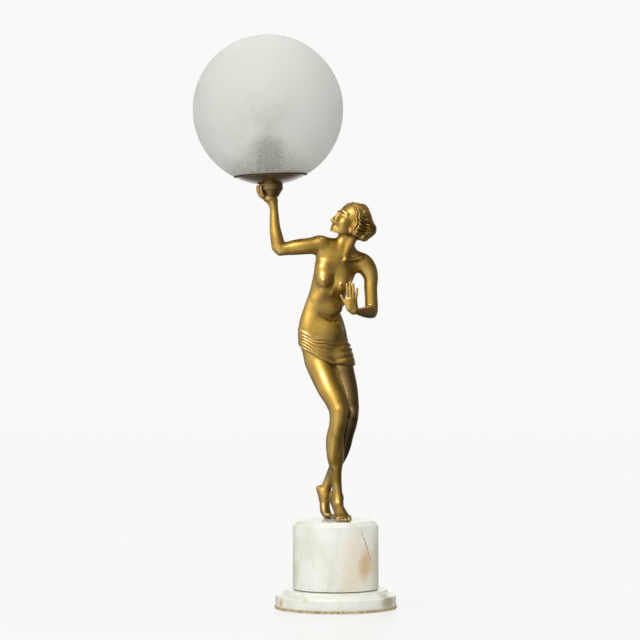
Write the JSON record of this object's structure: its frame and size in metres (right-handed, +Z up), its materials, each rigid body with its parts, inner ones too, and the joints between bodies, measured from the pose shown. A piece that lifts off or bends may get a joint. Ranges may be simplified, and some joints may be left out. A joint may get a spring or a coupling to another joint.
{
  "type": "table lamp",
  "caption": "Table lamp: a bronze-finish female figure on a round onyx drum and plinth, her raised hand holding up a frosted glass globe on a metal dish.",
  "frame": {"origin": "middle of the underside of the base pad, on the surface that the lamp stands on", "axes": "+Z up, -Y towards the viewer of the picture, +X to that viewer's right; the globe lies towards -X"},
  "size_m": [0.2036, 0.15, 0.572],
  "materials": {
    "pad": "matt cork board",
    "stone": "polished onyx, cream with pale green and tan veins",
    "bronze": "satin gold-brown patina",
    "brass": "plain turned",
    "steel": "plain",
    "felt": "felt",
    "bakelite": "moulded",
    "rubber": "matt",
    "porcelain": "unglazed",
    "globe_glass": "frosted with an ice-crackle skin",
    "bulb_glass": "pearl",
    "bulb_insulator": "glossy",
    "cap_metal": "plain",
    "solder": "dull",
    "filament": "dull"
  },
  "bodies": {
    "lamp": {"base_pad": "pad", "plinth": "stone", "cord_inlet": "brass", "drum_felt": "felt", "drum": "stone", "clamp_stud": "steel", "clamp_washer": "steel", "clamp_nut": "brass", "toe_dowel": "steel", "terminal_block": "bakelite", "terminal_screws": "brass", "internal_lead": "rubber", "gallery_dish": "bronze", "globe_seat": "felt", "gallery_cup": "bronze", "gallery_nipple": "brass", "gallery_locknut": "brass", "holder_cap": "brass", "holder_shell": "brass", "holder_insert": "porcelain", "threaded_sleeve": "brass", "centre_contact": "brass", "figure_torso": "bronze", "figure_head": "bronze", "raised_arm": "bronze", "bent_arm": "bronze", "standing_leg": "bronze", "trailing_leg": "bronze"},
    "globe": {"globe": "globe_glass"},
    "bulb_carriage": {"bulb_contact": "solder", "bulb_insulator": "bulb_insulator"},
    "bulb": {"bulb_cap": "cap_metal", "bulb_glass": "bulb_glass", "bulb_stem": "bulb_glass", "bulb_filament": "filament"}
  },
  "joints": [
    {"name": "globe_lift", "type": "slide", "parent": "lamp", "child": "globe", "axis": [-0.0401, 0, 0.9992], "range_m": [0, 0.12]},
    {"name": "bulb_advance", "type": "slide", "parent": "lamp", "child": "bulb_carriage", "axis": [-0.0401, 0, 0.9992], "range_m": [0, 0.0141]},
    {"name": "bulb_turn", "type": "hinge", "parent": "bulb_carriage", "child": "bulb", "pos_m": [-0.0676, -0.007, 0.49698], "axis": [-0.0401, 0, 0.9992], "range_deg": [0, 1800]}
  ],
  "couplings": [
    {"joint": "bulb_turn", "follows": "bulb_advance", "rad_per_m": 2226.5}
  ]
}
